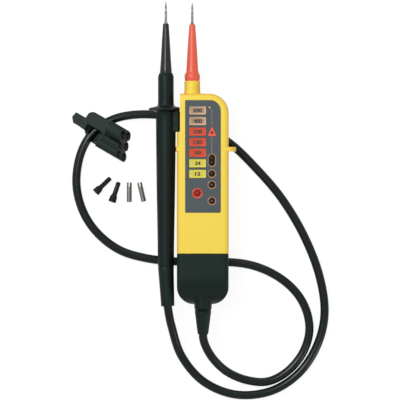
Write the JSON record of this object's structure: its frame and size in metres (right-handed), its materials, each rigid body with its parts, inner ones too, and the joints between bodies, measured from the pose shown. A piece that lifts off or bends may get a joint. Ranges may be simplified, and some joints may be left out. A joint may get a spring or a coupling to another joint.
{
  "type": "two-pole voltage tester",
  "caption": "Two-pole voltage tester: indicator handle with a red probe tip, docked black probe on a flexible lead, slide-on accessory holder, tip caps and slip-on adapters.",
  "frame": {"origin": "on the surface the tester lies on, at the middle of its outline seen from the front, without the lead and the holder on it", "axes": "+Y towards the two probe tips, +Z out of the indicator face, +X from the black probe towards the handle"},
  "size_m": [0.2058, 0.3184, 0.0351],
  "materials": {
    "yellow_plastic": "satin moulded",
    "black_plastic": "fine matt texture",
    "panel_grey": "smooth matt",
    "lens_peach": "clear-topped",
    "lens_red": "clear-topped",
    "lens_yellow": "clear-topped",
    "lens_orange": "clear-topped",
    "lamp_dark": "domed lamp",
    "lamp_red": "domed lamp",
    "red_plastic": "satin moulded",
    "tip_steel": "turned, nickel plated",
    "adapter_steel": "plated",
    "lead_rubber": "glossy flexible sheath",
    "cap_rubber": "soft gloss",
    "board_green": "solder mask",
    "led_white": "diodes",
    "buzzer_black": "matt",
    "resistor_tan": "matt",
    "cell_jacket": "printed jacket",
    "contact_steel": "nickel plated",
    "screw_steel": "zinc plated"
  },
  "bodies": {
    "handle": {"front_shell": "yellow_plastic", "rear_shell": "yellow_plastic", "end_cap": "black_plastic", "strain_relief": "black_plastic", "face_panel": "panel_grey", "window_lens_690": "lens_peach", "window_lens_400": "lens_peach", "window_lens_230": "lens_red", "window_lens_120": "lens_red", "window_lens_50": "lens_red", "window_lens_24": "lens_yellow", "window_lens_12": "lens_yellow", "triangle_lens": "lens_orange", "dot_lens": "lens_yellow", "twin_lamp_lens": "lamp_dark", "lamp_lens_upper": "lamp_dark", "lamp_lens_plus": "lamp_dark", "lamp_lens_minus": "lamp_dark", "volts_lamp_lens": "lamp_red", "circuit_board": "board_green", "indicator_leds": "led_white", "buzzer": "buzzer_black", "handle_resistor": "resistor_tan", "battery_left": "cell_jacket", "battery_right": "cell_jacket", "battery_springs": "contact_steel", "battery_plate": "contact_steel", "case_screws": "screw_steel", "red_nose": "red_plastic", "red_tip": "tip_steel", "lead_cable": "lead_rubber"},
    "battery_door": {"battery_door": "yellow_plastic"},
    "door_screw": {"door_screw": "screw_steel"},
    "black_probe": {"probe_barrel": "black_plastic", "probe_nose": "black_plastic", "probe_tip": "tip_steel", "probe_end_sleeve": "black_plastic", "probe_resistor": "resistor_tan"},
    "accessory_holder": {"accessory_holder": "black_plastic"},
    "tip_cap_left": {"tip_cap_left": "cap_rubber"},
    "tip_cap_right": {"tip_cap_right": "cap_rubber"},
    "tip_adapter_left": {"tip_adapter_left": "adapter_steel"},
    "tip_adapter_right": {"tip_adapter_right": "adapter_steel"}
  },
  "joints": [
    {"name": "probe_undock", "type": "slide", "parent": "handle", "child": "black_probe", "axis": [0, 1, 0], "range_m": [0, 0.031]},
    {"name": "holder_along_lead", "type": "slide", "parent": "handle", "child": "accessory_holder", "axis": [0.8253, 0.5647, 0], "range_m": [-0.002, 0.002]},
    {"name": "cap_left_lift", "type": "slide", "parent": "handle", "child": "tip_cap_left", "axis": [0, 0, 1], "range_m": [0, 0.03]},
    {"name": "cap_right_lift", "type": "slide", "parent": "handle", "child": "tip_cap_right", "axis": [0, 0, 1], "range_m": [0, 0.03]},
    {"name": "adapter_left_lift", "type": "slide", "parent": "handle", "child": "tip_adapter_left", "axis": [0, 0, 1], "range_m": [0, 0.03]},
    {"name": "adapter_right_lift", "type": "slide", "parent": "handle", "child": "tip_adapter_right", "axis": [0, 0, 1], "range_m": [0, 0.03]},
    {"name": "door_release", "type": "slide", "parent": "handle", "child": "battery_door", "axis": [0, 0, -1], "range_m": [0, 0.005]},
    {"name": "door_screw_turn", "type": "hinge", "parent": "battery_door", "child": "door_screw", "pos_m": [0.031, -0.0623, 0.0069], "axis": [0, 0, 1], "range_deg": [0, 90]}
  ]
}
